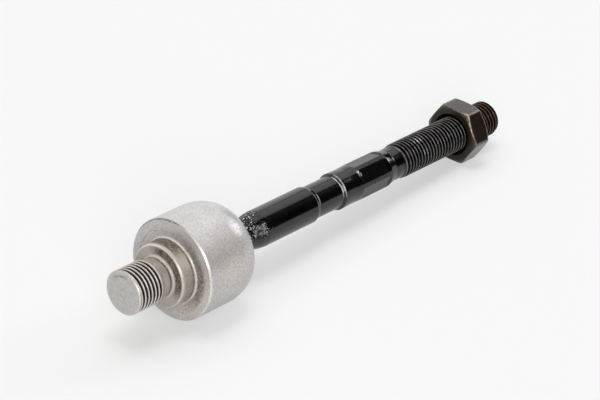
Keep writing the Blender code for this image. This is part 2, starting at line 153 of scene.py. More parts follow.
# The room's strength as light on the part, in reflections and to the camera
ROOM_LIGHT = 0.2
ROOM_REFLECTED = 0.01
ROOM_SEEN = 0.93


def smooth_step(low, high, value):
    """0 at a low value and below, rising smoothly to 1 at a high one."""
    share = np.clip((value - low) / (high - low), 0, 1)
    return share * share * (3 - 2 * share)


def smooth_min(a, b, width):
    """The lower of two heights, blended where they come within a width of each other."""
    share = np.clip(0.5 + 0.5 * (b - a) / width, 0, 1)
    return b * (1 - share) + a * share - width * share * (1 - share)


def hill(centre, half_width, value):
    """1 at the centre, falling smoothly to 0 at a half width to either side."""
    return 1 - smooth_step(0, 1, np.abs(value - centre) / half_width)


def plateau(centre, inner, outer, value):
    """1 within an inner distance of the centre, falling smoothly to 0 at an outer one."""
    return 1 - smooth_step(inner, outer, np.abs(value - centre))


def degrees_from(angle, degrees):
    """How far, in degrees, each angle lies from this one round the axis."""
    return np.abs((np.degrees(angle) - degrees + 180) % 360 - 180)


def facing(angle, degrees, inner, outer):
    """1 within an inner angle of a direction round the axis, falling to 0 at an outer one, in degrees."""
    return plateau(0, inner, outer, degrees_from(angle, degrees))


def patch(station, angle, at, degrees, half_length, half_degrees):
    """A spot on the surface: 1 in its middle, falling to 0 at a half length and a half angle from it."""
    return hill(at, half_length, station) * facing(angle, degrees, 0, half_degrees)


def from_flat(angle):
    """How far each angle lies from the middle of the nearest of six flats."""
    return (angle + math.pi / 6) % (math.pi / 3) - math.pi / 6


def six_fold(inner):
    """Angles in degrees round all six flats, from those on one side of a flat's middle."""
    one = sorted(set([-a for a in inner] + inner[:-1]))
    return np.array([a + 60 * k for k in range(6) for a in one])


def lattice_noise(points, size, seed):
    """Smooth noise from -1 to 1 at these 3-D points, with bumps of about this size."""
    grid = np.random.default_rng(seed).uniform(-1, 1, (32, 32, 32))
    place = np.asarray(points) / size
    base = np.floor(place).astype(int)
    part = place - base
    part = part * part * (3 - 2 * part)
    total = np.zeros(len(place))
    for corner in np.ndindex(2, 2, 2):
        share = np.prod(np.where(corner, part, 1 - part), axis=1)
        cell = (base + corner) % 32
        total += share * grid[cell[:, 0], cell[:, 1], cell[:, 2]]
    return total


def filleted(corners, steps=4):
    """(station, radius) points of an outline whose corners each state a fillet as a third value."""
    path = [corners[0][:2]]
    for before, corner, after in zip(corners, corners[1:], corners[2:]):
        point = np.array(corner[:2], float)
        size = corner[2]
        if not size:
            path.append(tuple(point))
            continue
        back = np.array(before[:2], float) - point
        ahead = np.array(after[:2], float) - point
        room = 0.45 * min(np.linalg.norm(back), np.linalg.norm(ahead))
        back /= np.linalg.norm(back)
        ahead /= np.linalg.norm(ahead)
        half = math.acos(np.clip(back @ ahead, -1, 1)) / 2
        reach = min(size / math.tan(half), room)
        middle = (back + ahead) / np.linalg.norm(back + ahead)
        centre = point + middle * reach / math.cos(half)
        start = point + back * reach - centre
        end = point + ahead * reach - centre
        first = math.atan2(start[1], start[0])
        turn = math.atan2(end[1], end[0]) - first
        turn = (turn + math.pi) % math.tau - math.pi
        radius = reach * math.tan(half)
        # A short straight either side keeps the shading of the flats even
        path.append(tuple(point + back * (reach + 0.04)))
        for step in range(steps + 1):
            angle = first + turn * step / steps
            path.append(tuple(centre + radius * np.array((math.cos(angle), math.sin(angle)))))
        path.append(tuple(point + ahead * (reach + 0.04)))
    path.append(corners[-1][:2])
    return path


def arc(station, radius, size, start, end, steps):
    """Corners without fillets along a circle, with angles in degrees."""
    corners = []
    for angle in np.radians(np.linspace(start, end, steps + 1)):
        corners.append((station + size * math.cos(angle), radius + size * math.sin(angle), 0))
    return corners


def divided(path, longest):
    """The path with extra points, so that no stretch is longer than longest(station)."""
    points = [path[0]]
    for a, b in zip(path, path[1:]):
        length = math.dist(a, b)
        if length < 1e-6:
            continue
        count = max(1, math.ceil(length / longest((a[0] + b[0]) / 2)))
        for step in range(1, count + 1):
            share = step / count
            points.append((a[0] + (b[0] - a[0]) * share, a[1] + (b[1] - a[1]) * share))
    return np.array(points)


def spun(rows, angles):
    """Grids of the stations, radii and angles that an outline's rows have when carried round the axis."""
    station = np.repeat(rows[:, 0][:, None], len(angles), 1)
    radius = np.repeat(rows[:, 1][:, None], len(angles), 1)
    angle = np.repeat(angles[None, :], len(rows), 0)
    return station, radius, angle


def thread_radius(station, angle, radius, blank_radius, start=None, end=None):
    """(radius of a right-hand thread, share of its full depth that is cut away).

    A start or an end is a (station, lead) at which the thread fades into its blank.
    """
    turns = station / PITCH - angle / math.tau
    away = np.abs(turns - np.round(turns)) * PITCH
    depth = np.clip((away - CREST_FLAT / 2) * math.sqrt(3), 0, None)
    depth = np.clip(smooth_min(depth, THREAD_DEPTH, 0.12), 0, None)
    share = 1.0
    if start:
        share = share * smooth_step(start[0] - start[1], start[0] + start[1], station)
    if end:
        share = share * (1 - smooth_step(end[0] - end[1], end[0] + end[1], station))
    cut = blank_radius + (radius - depth - blank_radius) * share
    return cut, np.clip(depth / THREAD_DEPTH, 0, 1) * share


def placed(axis, station, radius, angle):
    """Points in metres in the part's frame. An angle of 0 faces the floor."""
    origin, along, down = axis
    side = np.cross(along, down)
    spoke = np.cos(angle)[..., None] * down + np.sin(angle)[..., None] * side
    return origin + ((station - BALL_CENTRE)[..., None] * along + radius[..., None] * spoke) * MM


def turned_mesh(name, axis, station, radius, angle, masks, closed_ring=False):
    """A mesh from rows of points round the axis. A row whose radii are all 0 becomes one point."""
    rows, columns = station.shape
    places = placed(axis, station, radius, angle)
    pole = [bool(np.all(radius[row] < 1e-6)) for row in range(rows)]
    vertices = []
    kept = []
    index = np.zeros((rows, columns), int)
    for row in range(rows):
        if pole[row]:
            index[row] = len(vertices)
            vertices.append(places[row, 0])
            kept.append(row * columns)
        else:
            index[row] = np.arange(columns) + len(vertices)
            vertices.extend(places[row])
            kept.extend(row * columns + np.arange(columns))
    faces = []
    spans = [(row, row + 1) for row in range(rows - 1)]
    if closed_ring:
        spans.append((rows - 1, 0))
    for low, high in spans:
        for column in range(columns):
            nxt = (column + 1) % columns
            ring = [index[low, column], index[low, nxt], index[high, nxt], index[high, column]]
            face = [int(v) for k, v in enumerate(ring) if v != ring[k - 1]]
            if len(face) > 2:
                faces.append(face)
    mesh = bpy.data.meshes.new(name)
    mesh.from_pydata([tuple(v) for v in vertices], [], faces)
    mesh.polygons.foreach_set("use_smooth", [True] * len(mesh.polygons))
    for key, values in masks.items():
        attribute = mesh.attributes.new(key, "FLOAT", "POINT")
        flat = np.broadcast_to(values, station.shape).reshape(-1)[kept]
        attribute.data.foreach_set("value", flat.astype(np.float32))
    mesh.validate()
    mesh.update()
    return mesh


def shown(name, mesh, material, body, node):
    """Puts a mesh in the scene in place of a CAD node."""
    obj = bpy.data.objects.new(name, mesh)
    bpy.context.scene.collection.objects.link(obj)
    obj.data.materials.append(material)
    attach(obj, body)
    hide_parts(node)


# Shapes


def housing_rows():
    """Rows of the housing from the middle of the stud's end to the middle of the spring's pocket."""
    outside = [
        (0, 0, 0),
        (0, STUD_RADIUS - STUD_POINT_CHAMFER, 0.1),
        (STUD_POINT_CHAMFER, STUD_RADIUS, 0.1),
        (STUD_THREAD_LENGTH, STUD_RADIUS, 0.1),
        (STUD_THREAD_LENGTH + STUD_RADIUS - STUD_NECK_RADIUS, STUD_NECK_RADIUS, 0.1),
        (COLLAR_FACE, STUD_NECK_RADIUS, STUD_NECK_FILLET),
        (COLLAR_FACE, COLLAR_RADIUS - COLLAR_CHAMFER, 0.12),
        (COLLAR_FACE + COLLAR_CHAMFER, COLLAR_RADIUS, 0.12),
        (BELL_FACE, COLLAR_RADIUS, COLLAR_FILLET),
        (BELL_FACE, BELL_RADIUS - BELL_CHAMFER, 0.12),
        (BELL_FACE + BELL_CHAMFER, BELL_RADIUS, 0.12),
    ]
    roll_start = MOUTH_PLANE - LIP_ROLL_LENGTH
    for angle in np.linspace(0, math.pi / 2, 37):
        station = roll_start + LIP_ROLL_LENGTH * math.sin(angle)
        radius = LIP_RADIUS + (BELL_RADIUS - LIP_RADIUS) * math.cos(angle)
        outside.append((station, radius, 0))
    outside[-1] = (MOUTH_PLANE, LIP_RADIUS, 0.25)
    outside.append((MOUTH_PLANE, MOUTH_RADIUS + MOUTH_FLARE, 0.15))
    outside.append((MOUTH_EDGE + 0.3, MOUTH_RADIUS, 0.1))
    edge = math.degrees(math.acos(MOUTH_RADIUS / CAVITY_RADIUS))
    outside += arc(BALL_CENTRE, 0, CAVITY_RADIUS, 90 - edge, 90, 12)
    outside += [
        (CAVITY_CONE_TOP, CAVITY_RADIUS, 0),
        (CAVITY_CONE_TOP - CAVITY_RADIUS + POCKET_RADIUS, POCKET_RADIUS, 0),
        (POCKET_FLOOR, POCKET_RADIUS, 0),
        (POCKET_FLOOR, 0, 0),
    ]

    def longest(station):
        if station < STUD_THREAD_LENGTH + 0.6:
            return STUD_THREAD_ROWS
        return TURNED_ROWS if station < BELL_FACE + 1.0 else BELL_ROWS

    return divided(filleted(outside), longest)


def housing_marks(station, radius, angle, on_thread, groove):
    """Masks of the housing's painted edge highlights, of its brown dirt and painted shade, and of its
    warmer patches with painted light.

    Places are in millimetres, and directions round the axis are in degrees.
    """
    # Painted highlights on the edges and the thread's crests, strongest on the lit side
    fillet = hill(COLLAR_FACE - 0.3, 0.34, station) * hill(STUD_NECK_RADIUS + 0.3, 0.4, radius)
    rim = hill(COLLAR_FACE + 0.28, 0.32, station) * hill(COLLAR_RADIUS - 0.28, 0.34, radius)
    foot = hill(BELL_FACE - 0.35, 0.36, station) * hill(COLLAR_RADIUS + 0.35, 0.42, radius)
    bell = hill(BELL_FACE + 0.3, 0.48, station) * hill(BELL_RADIUS - 0.3, 0.48, radius)
    point = hill(STUD_POINT_CHAMFER / 2, 0.32, station) * hill(STUD_RADIUS - 0.3, 0.36, radius)
    point = point * (0.2 + 0.8 * facing(angle, 268, 55, 95))
    crest = np.where(on_thread, smooth_step(0.45, 0.95, 1 - groove), 0)
    crest = crest * (1 - smooth_step(STUD_THREAD_LENGTH - 0.5, STUD_THREAD_LENGTH + 0.1, station))
    crest = crest * smooth_step(0.5, 1.2, station) * (1 - 0.55 * facing(angle, 168, 28, 60))
    lit = 0.12 + 0.88 * facing(angle, 252, 38, 75)
    edge = np.maximum.reduce([0.6 * fillet, 0.95 * rim, 0.85 * foot, bell * lit, point, crest])
    # Painted shade on the collar's face and side, on the neck and in the corners between them, and brown
    # dirt in a ring on the bell's face
    face = plateau(COLLAR_FACE, 0.02, 0.1, station) * plateau(8.6, 1.0, 1.5, radius)
    side = smooth_step(COLLAR_FACE + 0.8, COLLAR_FACE + 1.4, station)
    side *= plateau(COLLAR_RADIUS, 0.05, 0.6, radius)
    side *= 1 - smooth_step(BELL_FACE - 0.7, BELL_FACE - 0.4, station)
    neck = plateau(STUD_NECK_RADIUS, 0.05, 0.3, radius) * plateau(13.0, 1.6, 2.4, station)
    ring = plateau(BELL_FACE, 0.05, 0.3, station) * plateau(12.0, 0.7, 2.9, radius)
    creases = np.maximum(
        hill(COLLAR_FACE - 1.1, 0.6, station) * plateau(STUD_NECK_RADIUS, 0.1, 0.3, radius),
        hill(BELL_FACE - 1.1, 0.5, station) * plateau(COLLAR_RADIUS, 0.15, 0.4, radius),
    )
    # A darker band behind the thread, an arc of painted shade on the stud's end and a small mark in its
    # middle
    behind = hill(STUD_THREAD_LENGTH + 0.9, 0.55, station) * plateau(STUD_NECK_RADIUS, 0.1, 0.4, radius)
    end_shade_and_mark = hill(5.6, 0.6, radius) * facing(angle, 162, 22, 38)
    end_shade_and_mark = np.maximum(0.8 * end_shade_and_mark, 0.25 * hill(1.3, 0.6, radius)) * plateau(0, 0.02, 0.1, station)
    # A line that the tool left on the bell's face
    line = np.interp(np.degrees(angle), (60, 94, 133, 155, 180), (14.4, 13.5, 13.6, 12.8, 12.6))
    scribe = hill(line, 0.2, radius) * plateau(BELL_FACE, 0.02, 0.1, station)
    scribe *= facing(angle, 120, 45, 62)
    # Brown dirt in the ring, the small mark and the tool's line; painted shade on the collar, the neck,
    # the creases, the stud's end arc and the bell's chamfer
    dirt_and_shade = np.maximum.reduce(
        [
            face * (0.12 + 0.88 * facing(angle, 226, 42, 85)),
            side * (0.08 + 0.92 * facing(angle, 168, 22, 55)),
            0.32 * side * facing(angle, 268, 20, 50),
            neck * (0.05 + 0.4 * facing(angle, 190, 25, 60)),
            ring * (0.16 + 0.6 * facing(angle, 262, 28, 75)),
            1.2 * creases,
            0.6 * behind,
            0.7 * end_shade_and_mark,
            1.3 * bell * facing(angle, 148, 25, 45),
            0.6 * scribe,
        ]
    )
    # Warmer steel on the bell's side and low on its face, also lighter there as painted light
    low_face = plateau(BELL_FACE, 0.05, 0.4, station) * facing(angle, 300, 30, 90)
    warm_tint_and_light = np.maximum(patch(station, angle, 31.5, 250, 11, 48), low_face)
    return edge, np.clip(dirt_and_shade, 0, 1), warm_tint_and_light


def make_housing(axis, material):
    rows = housing_rows()
    angles = np.arange(HOUSING_COLUMNS) * math.tau / HOUSING_COLUMNS
    station, radius, angle = spun(rows, angles)
    thread_end = (STUD_THREAD_LENGTH + 0.1, 0.7)
    cut, groove = thread_radius(station, angle, STUD_RADIUS, STUD_NECK_RADIUS, end=thread_end)
    # The chamfered point keeps a plain rim before the first groove
    begun = smooth_step(0.35, 1.0, station)
    cut = STUD_RADIUS - (STUD_RADIUS - cut) * begun
    groove = groove * begun
    on_thread = (station > 0.001) & (station < COLLAR_FACE - 2) & (radius > 5)
    threaded = np.where(on_thread, smooth_min(radius, cut, 0.05), radius)
    groove = np.where(on_thread, groove, 0)
    # Rows before the mouth's plane are outside
    outer = (np.arange(len(rows)) < np.argmax(rows[:, 0] > MOUTH_PLANE - 0.01))[:, None]
    edge, dirt_and_shade, warm_tint_and_light = housing_marks(station, radius, angle, on_thread, groove)
    masks = {
        "groove": groove,
        "dirt_and_shade": dirt_and_shade * outer,
        "turned": (1 - smooth_step(BELL_FACE - 0.5, BELL_FACE - 0.1, station)) * outer,
        "end": plateau(0, 0.01, 0.1, station) * (radius < STUD_RADIUS),
        "edge": edge * outer,
        "warm_tint_and_light": warm_tint_and_light * outer,
        "spoke": radius,
        "shaded_inside": 1.0 - outer,
    }
    mesh = turned_mesh("socket_housing_detail", axis, station, threaded, angle, masks)
    shown("socket_housing_detail", mesh, material, "housing", "socket_housing")


def rod_rows():
    """Rows of the rod from the flat on the ball's end to the middle of the tip."""
    flat = math.degrees(math.asin(BALL_END_FLAT_RADIUS / BALL_RADIUS))
    rise = NECK_RADIUS + NECK_FILLET
    reach = math.sqrt((BALL_RADIUS + NECK_FILLET) ** 2 - rise**2)
    touch = math.degrees(math.atan2(rise, reach))
    ball = arc(BALL_CENTRE, 0, BALL_RADIUS, 180 - flat, touch, 30)
    fillet = arc(BALL_CENTRE + reach, rise, NECK_FILLET, 180 + touch, 270, 6)[1:]
    corners = [(ball[0][0], 0, 0)] + ball + fillet
    corners += [
        (NECK_END, NECK_RADIUS, 5.0),
        (SHOULDER_START, SHOULDER_RADIUS, 4.0),
        (SHANK_START, SHANK_RADIUS, 2.5),
        (SHANK_END - 1.0, SHANK_RADIUS, 0),
        (SHANK_END - 0.3, SHANK_RADIUS, 0.15),
        (SHANK_END, SHANK_RADIUS - 0.3, 0.12),
        (WAIST_START, WAIST_RADIUS, 0.3),
        (WAIST_START + 0.8, WAIST_RADIUS, 0),
        (GRIP_START - 0.7, WAIST_RADIUS, 0),
        (GRIP_START, WAIST_RADIUS, 0.1),
        (GRIP_LIP_START, GRIP_LIP_RADIUS, 0.12),
        (GRIP_LIP_END, GRIP_LIP_RADIUS, 1.5),
        (GRIP_LIP_FADED, GRIP_RADIUS, 20.0),
        (HEX_START + HEX_RUNOUT, HEX_CORNER_RADIUS, 1.5),
        (HEX_END, HEX_CORNER_RADIUS - 0.03, 2.0),
        (BLANK_START + 0.3, BLANK_RADIUS, 2.0),
        (THREAD_START, BLANK_RADIUS, 0),
        (THREAD_START + 0.6, THREAD_RADIUS, 0),
        (ROD_TIP - ROD_POINT_CHAMFER, THREAD_RADIUS, 0.15),
        (ROD_TIP, THREAD_RADIUS - ROD_POINT_CHAMFER, 0.2),
        (ROD_TIP, 0, 0),
    ]
    steps = (SHANK_END, WAIST_START, GRIP_START, GRIP_LIP_START)

    def longest(station):
        if station > THREAD_START - 1.5:
            return ROD_THREAD_ROWS
        if HEX_START - 1 < station < HEX_END + 1:
            return FLAT_ROWS
        if min(abs(station - step) for step in steps) < 0.8:
            return STEP_ROWS
        if MOUTH_PLANE - 4 < station < SHANK_START + 1:
            return NECK_ROWS
        return SHANK_ROWS

    return divided(filleted(corners), longest)


def hex_angles():
    """Columns that run along the edges of the six spanner flats, with more of them beside each edge."""
    edge = math.degrees(math.acos(HEX_APOTHEM / HEX_CORNER_RADIUS))
    inner = [0, 6, 12, 17, 21, 24, edge - 1.2, edge - 0.4, edge + 0.4, edge + 1.2, 30]
    return np.radians(six_fold(inner)) + HEX_TURN


def forging_scale(axis, station, radius, angle):
    """(mask of the neck's scale, mask of its bright facet, height of the scale's flakes)."""
    points = placed(axis, station, radius, angle).reshape(-1, 3) / MM
    coarse = lattice_noise(points, 1.5, 3).reshape(station.shape)
    fine = lattice_noise(points, 0.55, 4).reshape(station.shape)
    scaly = smooth_step(BALL_CENTRE + 8.5, BALL_CENTRE + 10, station)
    scaly *= 1 - smooth_step(58.5, 60.5, station + 1.2 * coarse)
    # The underside and one facet are smooth
    scaly *= 1 - 0.9 * facing(angle, 305, 35, 50)
    scaly *= 1 - 0.9 * plateau(58.8, 2.2, 2.8, station) * facing(angle, 200, 14, 18)
    bright = plateau(56.6, 2.3, 2.7, station + 0.2 * coarse)
    bright *= plateau(0, 14, 16, degrees_from(angle, 237) + 2 * coarse)
    # Flakes step up and down by whole levels
    flakes = np.round(coarse * 2.2) / 2.2 * 0.14 + fine * 0.1
    return scaly, bright, scaly * flakes


def make_rod(axis, material):
    station, radius, angle = spun(rod_rows(), hex_angles())
    # Pressed flats, with ends that ramp out
    from_end = np.minimum(station - HEX_START, HEX_END - station)
    rise = (HEX_CORNER_RADIUS + 0.1 - HEX_APOTHEM) * (1 - np.clip(from_end / HEX_RUNOUT, 0, 1) ** 0.8)
    turn = from_flat(angle - HEX_TURN)
    flat = (HEX_APOTHEM + rise) / np.cos(turn)
    on_hex = (station > HEX_START - 0.5) & (station < HEX_END + 0.5)
    pressed = np.where(on_hex, smooth_min(radius, flat, 0.05), radius)
    # Rolled thread
    thread_start = (THREAD_START + 0.6, 1.6)
    cut, groove = thread_radius(station, angle, THREAD_RADIUS, BLANK_RADIUS, start=thread_start)
    on_thread = (station > THREAD_START - 1.4) & (radius > 4)
    threaded = np.where(station > ROD_TIP - 2, smooth_min(radius, cut, 0.05), cut)
    groove = np.where(on_thread, groove, 0)
    scaly, bright, flakes = forging_scale(axis, station, radius, angle)
    shape = np.where(on_thread, threaded, pressed) + flakes
    masks = {
        "groove": groove,
        "crest": np.where(on_thread, 1 - groove, 0),
        "scaly": scaly,
        "bright": bright,
        "edge": rod_step_highlights(station, angle),
        "scuff_and_glint": rod_scuffs_and_glints(station, angle),
        "ribbed": plateau(HEX_START + 7.6, 6.2, 6.8, station) * (np.abs(turn) > math.radians(23.5)),
        "tip": smooth_step(NUT_FAR_FACE - 2, NUT_FAR_FACE + 1, station),
        "station": station,
    }
    mesh = turned_mesh("tie_rod_detail", axis, station, shape, angle, masks)
    shown("tie_rod_detail", mesh, material, "rod", "tie_rod")


def rod_step_highlights(station, angle):
    """Painted highlights in thin lines along the edges of the two steps."""
    first = hill(SHANK_END - 0.1, 0.32, station)
    foot = patch(station, angle, WAIST_START + 0.1, 228, 0.3, 26)
    front = facing(angle, 218, 30, 50)
    inner = hill(GRIP_START + 0.02, 0.25, station) * front
    outer = hill(GRIP_LIP_START, 0.28, station) * front
    return np.maximum.reduce([first, 0.8 * foot, inner, 0.9 * outer])


def rod_scuffs_and_glints(station, angle):
    """Painted glints beside the flats' ends, and spots where the coating is knocked through on the
    thread.
    """
    # Station, direction in degrees, half length and half angle of each spot; the first three are painted
    # glints
    spots = (
        (105.9, 208, 1.0, 9),
        (106.6, 215, 0.7, 7),
        (120.6, 210, 0.9, 8),
        (137.5, 194, 3.6, 20),
        (138.1, 243, 1.7, 14),
        (150.0, 172, 0.6, 6),
    )
    return np.maximum.reduce([patch(station, angle, *spot) for spot in spots])


def make_nut(axis, material):
    # Columns gathered at the six corners, where the sides meet
    angles = np.radians(six_fold([0, 5, 10, 15, 20, 24, 26.5, 28, 28.8, 29.4, 30]))
    turn = from_flat(angles)
    side = NUT_APOTHEM / np.cos(turn)
    neighbour = NUT_APOTHEM / np.cos(math.pi / 3 - np.abs(turn))
    corner_radius = smooth_min(smooth_min(side, neighbour, 0.2), NUT_CORNER_RADIUS, 0.3)
    sink = (NUT_COUNTERSINK - NUT_BORE_RADIUS) * NUT_COUNTERSINK_SLOPE
    columns = []
    for reach in corner_radius:
        drop = (reach - NUT_FACE_RADIUS) * NUT_CHAMFER_SLOPE
        corners = [
            (NUT_NEAR_FACE + sink, NUT_BORE_RADIUS, 0),
            (NUT_NEAR_FACE, NUT_COUNTERSINK, 0.12),
            (NUT_NEAR_FACE, NUT_FACE_RADIUS, 0.6),
            (NUT_NEAR_FACE + drop, reach, 0.4),
            (NUT_NEAR_FACE + drop + 0.7, reach, 0),
            (NUT_FAR_FACE - drop - 0.7, reach, 0),
            (NUT_FAR_FACE - drop, reach, 0.4),
            (NUT_FAR_FACE, NUT_FACE_RADIUS, 0.6),
            (NUT_FAR_FACE, NUT_COUNTERSINK, 0.12),
            (NUT_FAR_FACE - sink, NUT_BORE_RADIUS, 0),
        ]
        columns.append(filleted(corners))
    outlines = np.array(columns).transpose(1, 0, 2)
    station, radius = outlines[..., 0], outlines[..., 1]
    angle = np.repeat(angles[None, :], len(outlines), 0)
    # Painted highlights along the chamfers' rims and the corners
    depth = ((corner_radius - NUT_FACE_RADIUS) * NUT_CHAMFER_SLOPE)[None, :]
    at_rim = smooth_step(-0.35, -0.1, radius - corner_radius[None, :])
    near_rim = hill(0, 0.35, station - NUT_NEAR_FACE - depth) * at_rim
    near_rim = near_rim * (0.25 + 0.75 * facing(angle, 226, 16, 34))
    far_rim = hill(0, 0.35, station - NUT_FAR_FACE + depth) * at_rim
    far_rim = far_rim * (0.15 + 0.5 * facing(angle, 220, 40, 70))
    corner = hill(math.pi / 6, math.radians(2.4), np.abs(turn))[None, :] * smooth_step(9.9, 10.3, radius)
    corner = corner * (0.15 + 0.15 * facing(angle, 210, 8, 30))
    masks = {
        "edge": np.maximum.reduce([corner, near_rim, far_rim]),
        "sink": 1 - smooth_step(NUT_COUNTERSINK - 0.1, NUT_COUNTERSINK + 0.15, radius),
        "face": 1 - smooth_step(0.1, 1.2, station - NUT_NEAR_FACE),
        "spoke": radius,
    }
    mesh = turned_mesh("jam_nut_detail", axis, station, radius, angle, masks, closed_ring=True)
    shown("jam_nut_detail", mesh, material, "lock_nut", "jam_nut")


# Materials


class Shader:
    """A node material with short calls for the few nodes used here. Values may be numbers or sockets."""

    def __init__(self, name):
        self.material = bpy.data.materials.new(name)
        self.material.use_nodes = True
        self.tree = self.material.node_tree
        self.surface = self.tree.nodes["Principled BSDF"]
        self.place = self.node("ShaderNodeTexCoord").outputs["Object"]

    def node(self, kind, **settings):
        made = self.tree.nodes.new(kind)
        for key, value in settings.items():
            setattr(made, key, value)
        return made

    def put(self, socket, value):
        if isinstance(value, bpy.types.NodeSocket):
            self.tree.links.new(value, socket)
        else:
            socket.default_value = value

    def mask(self, name):
        return self.node("ShaderNodeAttribute", attribute_name=name).outputs["Fac"]

    def maths(self, operation, *values):
        made = self.node("ShaderNodeMath", operation=operation)
        for socket, value in zip(made.inputs, values):
            self.put(socket, value)
        return made.outputs[0]

    def span(self, value, low, high, out_low=0.0, out_high=1.0):
        made = self.node("ShaderNodeMapRange", interpolation_type="SMOOTHSTEP")
        for socket, number in zip(made.inputs, (value, low, high, out_low, out_high)):
            self.put(socket, number)
        return made.outputs[0]

    def noise(self, size_mm, detail=2.0, roughness=0.5, place=None):
        made = self.node("ShaderNodeTexNoise")
        self.put(made.inputs["Vector"], place or self.place)
        made.inputs["Scale"].default_value = 1 / (size_mm * MM)
        made.inputs["Detail"].default_value = detail
        made.inputs["Roughness"].default_value = roughness
        return made.outputs["Fac"]

    def rings(self, name, size_mm):
        """Noise that changes only with a mask's value, such as the marks that turning leaves."""
        join = self.node("ShaderNodeCombineXYZ")
        self.put(join.inputs[0], self.mask(name))
        made = self.node("ShaderNodeTexNoise")
        self.put(made.inputs["Vector"], join.outputs[0])
        made.inputs["Scale"].default_value = 1 / size_mm
        made.inputs["Detail"].default_value = 2.0
        return made.outputs["Fac"]

    def stretched(self, name, length_mm):
        """Places drawn out along the axis, for streaks of about this length."""
        split = self.node("ShaderNodeSeparateXYZ")
        self.put(split.inputs[0], self.place)
        join = self.node("ShaderNodeCombineXYZ")
        self.put(join.inputs[0], self.maths("MULTIPLY", self.mask(name), MM / length_mm))
        self.put(join.inputs[1], split.outputs[1])
        self.put(join.inputs[2], split.outputs[2])
        return join.outputs[0]

    def mix(self, share, a, b):
        made = self.node("ShaderNodeMix", data_type="RGBA")
        self.put(made.inputs[0], share)
        self.put(made.inputs[6], (*a, 1) if isinstance(a, tuple) else a)
        self.put(made.inputs[7], (*b, 1) if isinstance(b, tuple) else b)
        return made.outputs[2]

    def mix_number(self, share, a, b):
        made = self.node("ShaderNodeMix")
        for socket, value in zip((made.inputs[0], made.inputs[2], made.inputs[3]), (share, a, b)):
            self.put(socket, value)
        return made.outputs[0]

    def bump(self, height, depth_mm, strength=1.0, normal=None):
        made = self.node("ShaderNodeBump")
        made.inputs["Strength"].default_value = strength
        made.inputs["Distance"].default_value = depth_mm * MM
        self.put(made.inputs["Height"], height)
        if normal:
            self.put(made.inputs["Normal"], normal)
        return made.outputs["Normal"]

    def finish(self, **sockets):
        for key, value in sockets.items():
            self.put(self.surface.inputs[key.replace("_", " ")], value)
        return self.material


def housing_material():
    s = Shader("blasted_steel_look")
    broad = s.noise(6.0, 3.0)
    grain = s.noise(0.5, 3.0, 0.7)
    speck = s.noise(0.8, 2.0, 0.7)
    colour = s.mix(s.span(broad, 0.35, 0.65), (0.61, 0.605, 0.605), (0.68, 0.675, 0.675))
    # A warmer tint that also paints light on the bell's side and low on its face
    colour = s.mix(s.maths("MULTIPLY", s.mask("warm_tint_and_light"), 0.7), colour, (0.78, 0.715, 0.63))
    colour = s.mix(s.span(grain, 0.42, 0.62, 0.0, 0.8), colour, (0.47, 0.435, 0.40))
    # Turned steel is darker and browner than the blasted bell
    plain = s.maths("SUBTRACT", 1.0, s.mask("end"))
    bare = s.maths("MULTIPLY", s.mask("turned"), plain)
    machined = s.mix(s.span(s.rings("spoke", 0.2), 0.35, 0.65), (0.46, 0.42, 0.36), (0.55, 0.51, 0.45))
    colour = s.mix(s.maths("MULTIPLY", bare, 0.9), colour, machined)
    blotch = s.span(s.noise(1.3, 4.0, 0.7), 0.3, 0.7)
    smooth_end = s.mix(blotch, (0.50, 0.488, 0.46), (0.63, 0.62, 0.60))
    colour = s.mix(s.maths("MULTIPLY", s.mask("end"), 0.85), colour, smooth_end)
    # Brown dirt and painted shade, with ragged edges
    ragged = s.span(s.noise(1.0, 4.0, 0.7), 0.3, 0.62, 0.45, 1.0)
    colour = s.mix(s.maths("MULTIPLY", s.mask("dirt_and_shade"), ragged), colour, (0.10, 0.072, 0.042))
    pits = s.maths("MULTIPLY", s.span(s.mask("dirt_and_shade"), 0.1, 0.5), s.span(speck, 0.61, 0.67, 0.0, 0.75))
    colour = s.mix(pits, colour, (0.055, 0.035, 0.018))
    colour = s.mix(s.span(speck, 0.70, 0.76, 0.0, 0.45), colour, (0.20, 0.17, 0.14))
    # Painted highlights on the edges and crests, in light cream
    edge = s.maths("MULTIPLY", s.mask("edge"), s.span(s.noise(2.2, 3.0), 0.35, 0.65, 0.55, 1.0))
    colour = s.mix(edge, colour, (0.88, 0.85, 0.78))
    # Painted shade, nearly black, down the thread's flanks and grooves
    colour = s.mix(s.span(s.mask("groove"), 0.12, 0.45), colour, (0.018, 0.012, 0.007))
    # Painted shade inside the mouth and the cavity
    colour = s.mix(s.mask("shaded_inside"), colour, (0.08, 0.075, 0.07))
    lines = s.maths("MULTIPLY", s.rings("spoke", 0.16), s.mask("turned"))
    normal = s.bump(lines, 0.02, 0.5)
    normal = s.bump(grain, 0.05, 0.5, normal)
    rough = s.span(broad, 0.3, 0.7, 0.33, 0.41)
    metal = s.maths("MULTIPLY_ADD", bare, -0.18, 0.37)
    return s.finish(Base_Color=colour, Metallic=metal, Roughness=rough, Normal=normal)


